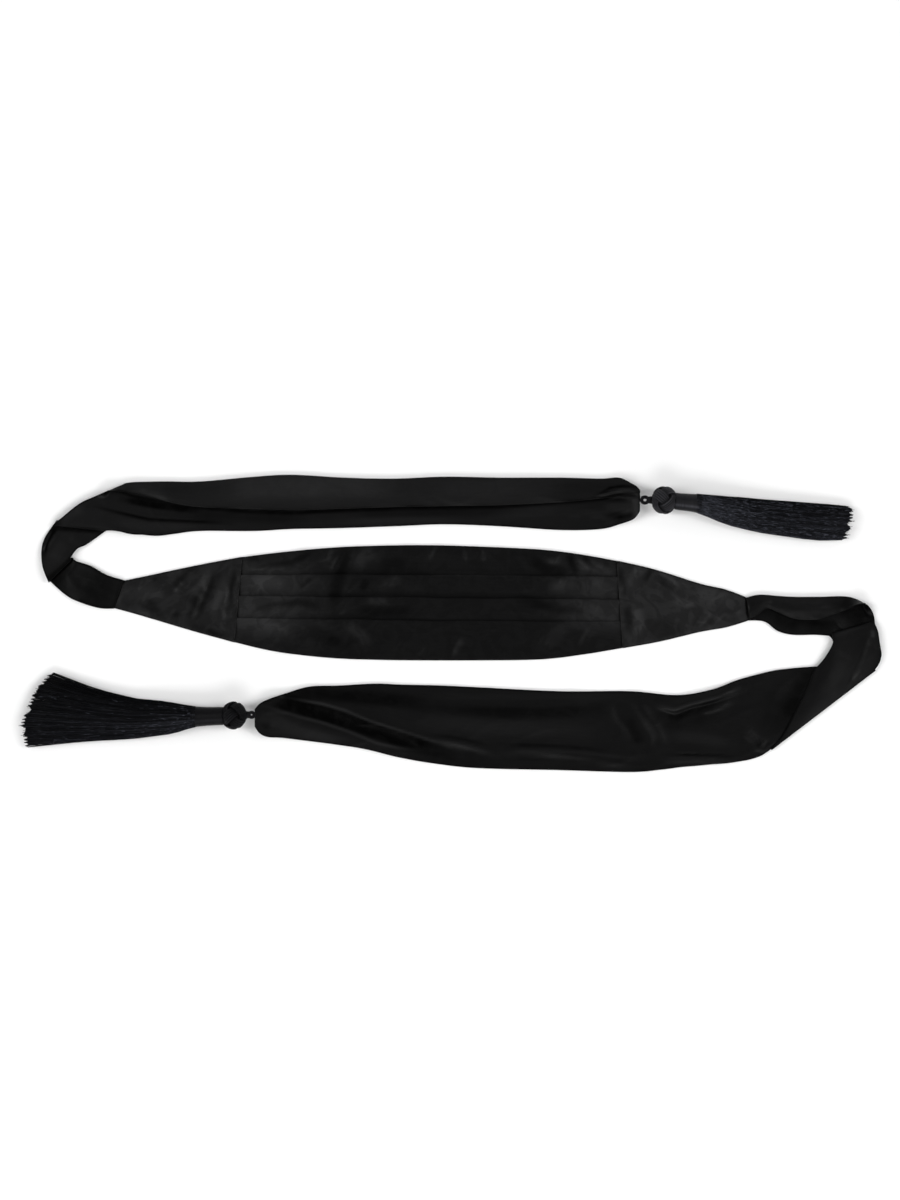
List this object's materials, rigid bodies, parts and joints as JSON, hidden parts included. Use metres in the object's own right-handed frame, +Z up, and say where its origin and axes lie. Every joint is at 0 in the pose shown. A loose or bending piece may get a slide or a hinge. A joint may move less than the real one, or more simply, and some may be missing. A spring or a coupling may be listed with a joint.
{
  "type": "cummerbund",
  "caption": "Black satin cummerbund sash laid flat, with a knife-pleated front, tapered side panels and soft ties that end in plaited ball knots and tassels.",
  "frame": {"origin": "on the surface that the sash lies on, below the middle of its outline seen from above", "axes": "+X along the sash towards the turn of the right tie, +Y up the height of the pleated front, towards its top edge, +Z up from the surface, out of the cloth's face"},
  "size_m": [0.9053, 0.3121, 0.0281],
  "materials": {
    "pleat_satin": "black satin, folded into pleats, soft broken highlights",
    "panel_satin": "black satin over a soft interlining, slightly puckered",
    "tie_satin": "soft limp black satin, semi-matt with long folds",
    "cord": "thin black rayon cord, plaited",
    "tassel_thread": "fine blue-black rayon thread with a silky glint"
  },
  "bodies": {
    "root": {"front_panel": "pleat_satin", "side_panel_left": "panel_satin", "side_panel_right": "panel_satin", "tie_left": "tie_satin", "tie_right": "tie_satin", "loop_left": "cord", "loop_right": "cord", "knot_left": "cord", "knot_right": "cord", "tassel_left": "tassel_thread", "tassel_right": "tassel_thread"}
  },
  "joints": []
}
